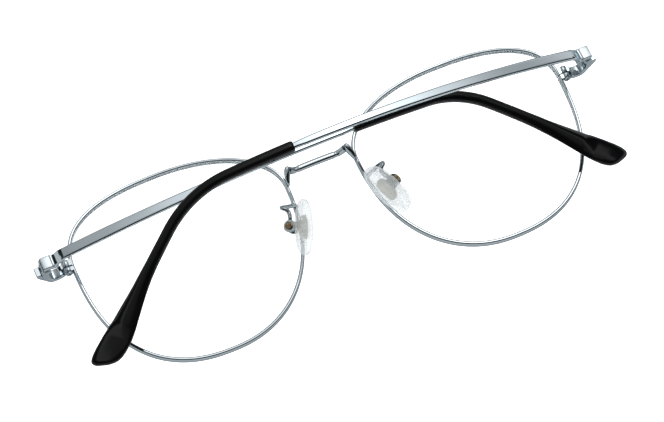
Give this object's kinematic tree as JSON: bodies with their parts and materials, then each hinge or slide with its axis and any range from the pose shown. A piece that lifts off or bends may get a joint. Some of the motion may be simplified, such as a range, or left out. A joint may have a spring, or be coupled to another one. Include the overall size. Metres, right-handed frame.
{
  "type": "eyeglasses",
  "caption": "Thin metal full-rim eyeglasses with soft round lenses, folded temples with black tips, and clear nose pads on wire arms.",
  "frame": {"origin": "on the resting surface, under the middle of the eyewires' box, midway between the eyes", "axes": "+X towards the wearer's right, +Y towards the brow, +Z back towards the wearer; the frame lies face down with its temples folded"},
  "size_m": [0.141, 0.0478, 0.0262],
  "materials": {
    "metal": "polished silver plating",
    "lens": "clear, anti-reflection coated",
    "temple_tip": "polished black acetate",
    "nose_pad": "clear soft silicone",
    "pad_insert": "nickel plated",
    "pad_screw": "bright, with a cross slot"
  },
  "bodies": {
    "front": {"bridge_bar": "metal", "right_rim": "metal", "right_lens": "lens", "right_bridge_foot": "metal", "right_closing_block_upper": "metal", "right_closing_block_lower": "metal", "right_closing_screw": "metal", "right_end_piece": "metal", "right_front_hinge_leaf": "metal", "right_hinge_screw": "metal", "right_pad_arm": "metal", "right_pad_box": "metal", "right_pad_screw": "pad_screw", "left_rim": "metal", "left_lens": "lens", "left_bridge_foot": "metal", "left_closing_block_upper": "metal", "left_closing_block_lower": "metal", "left_closing_screw": "metal", "left_end_piece": "metal", "left_front_hinge_leaf": "metal", "left_hinge_screw": "metal", "left_pad_arm": "metal", "left_pad_box": "metal", "left_pad_screw": "pad_screw"},
    "right_temple": {"right_temple": "metal", "right_temple_hinge_leaf": "metal", "right_temple_tip": "temple_tip"},
    "right_pad": {"right_pad_insert": "pad_insert", "right_nose_pad": "nose_pad"},
    "left_temple": {"left_temple": "metal", "left_temple_hinge_leaf": "metal", "left_temple_tip": "temple_tip"},
    "left_pad": {"left_pad_insert": "pad_insert", "left_nose_pad": "nose_pad"}
  },
  "joints": [
    {"name": "right_temple_hinge", "type": "hinge", "parent": "front", "child": "right_temple", "pos_m": [0.068, 0.0092, 0.01], "axis": [0, 1, 0], "range_deg": [0, 90]},
    {"name": "left_temple_hinge", "type": "hinge", "parent": "front", "child": "left_temple", "pos_m": [-0.068, 0.0092, 0.01], "axis": [0, -1, 0], "range_deg": [0, 92.7]},
    {"name": "right_pad_rock", "type": "hinge", "parent": "front", "child": "right_pad", "pos_m": [0.0129, -0.0027, 0.0104], "axis": [0.4911, 0.0373, 0.8703], "range_deg": [-8, 8]},
    {"name": "left_pad_rock", "type": "hinge", "parent": "front", "child": "left_pad", "pos_m": [-0.0129, -0.0039, 0.0104], "axis": [-0.4911, 0.0373, 0.8703], "range_deg": [-8, 8]}
  ]
}
